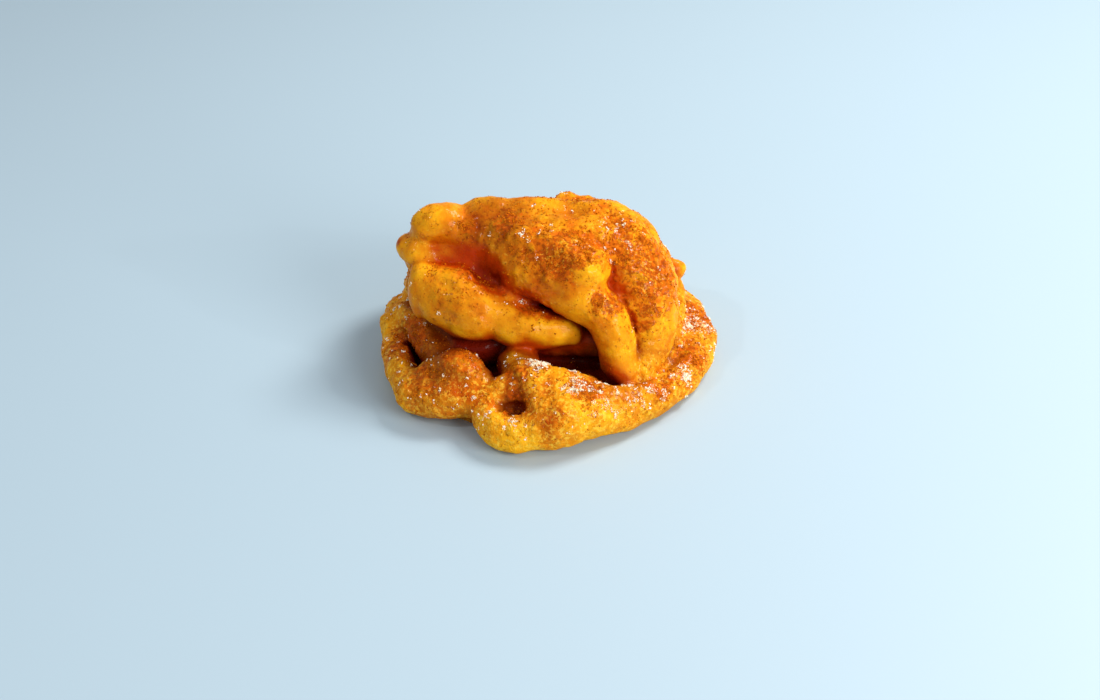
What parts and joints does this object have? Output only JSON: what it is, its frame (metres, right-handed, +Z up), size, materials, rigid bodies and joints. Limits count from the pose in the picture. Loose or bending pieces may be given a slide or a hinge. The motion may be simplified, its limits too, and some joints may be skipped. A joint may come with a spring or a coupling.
{
  "type": "funnel cake",
  "caption": "Small nest of fried batter strands: a base ring with a curled front, a fat roll arching over it, dusted with cinnamon and sugar.",
  "frame": {"origin": "centre of the footprint, on the surface the cake rests on", "axes": "+X to the right along the top roll, which is the longest side; +Y to the back; +Z up, the shortest side"},
  "size_m": [0.0976, 0.0882, 0.0493],
  "materials": {
    "fried_dough": "golden fried batter, slightly oily, freckled brown",
    "cinnamon": "dry ground cinnamon",
    "sugar": "powdered sugar in small clumps"
  },
  "bodies": {
    "root": {"funnel_cake": "fried_dough"}
  },
  "joints": []
}
